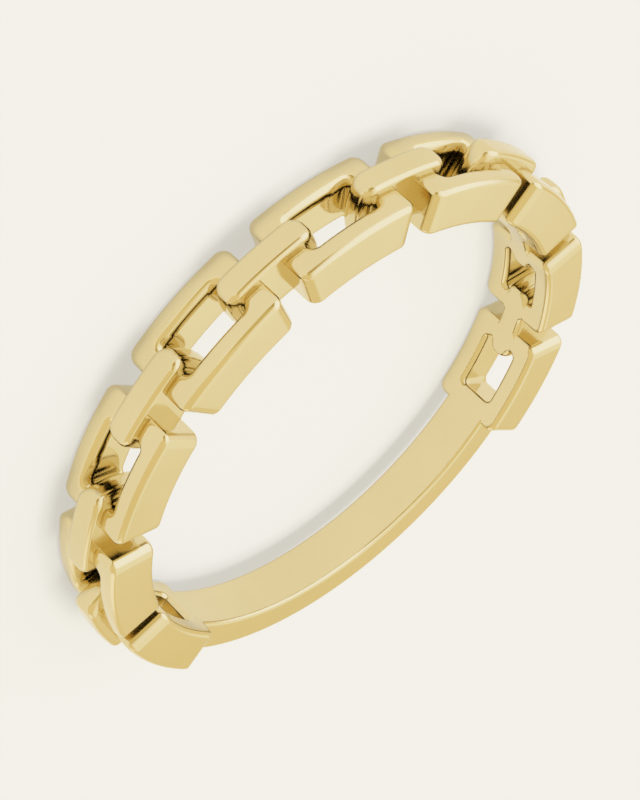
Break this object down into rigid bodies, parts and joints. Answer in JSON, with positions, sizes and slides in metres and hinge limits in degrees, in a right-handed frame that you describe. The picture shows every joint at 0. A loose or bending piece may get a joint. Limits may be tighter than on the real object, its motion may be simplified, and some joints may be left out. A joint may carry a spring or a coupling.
{
  "type": "chain link ring",
  "caption": "Finger ring whose upper part is a chain of wide rectangular frame links joined by narrow links on edge, closed by a plain band.",
  "frame": {"origin": "centre of the finger hole, at mid width", "axes": "+Z along the finger, +Y towards the middle of the chain, X across"},
  "size_m": [0.0212, 0.0205, 0.003],
  "materials": {
    "gold": "polished"
  },
  "bodies": {
    "root": {"shank": "gold", "wide_link_1": "gold", "wide_link_2": "gold", "wide_link_3": "gold", "wide_link_4": "gold", "wide_link_5": "gold", "wide_link_6": "gold", "wide_link_7": "gold", "narrow_link_1": "gold", "narrow_link_2": "gold", "narrow_link_3": "gold", "narrow_link_4": "gold", "narrow_link_5": "gold", "narrow_link_6": "gold", "narrow_link_7": "gold", "narrow_link_8": "gold"}
  },
  "joints": []
}
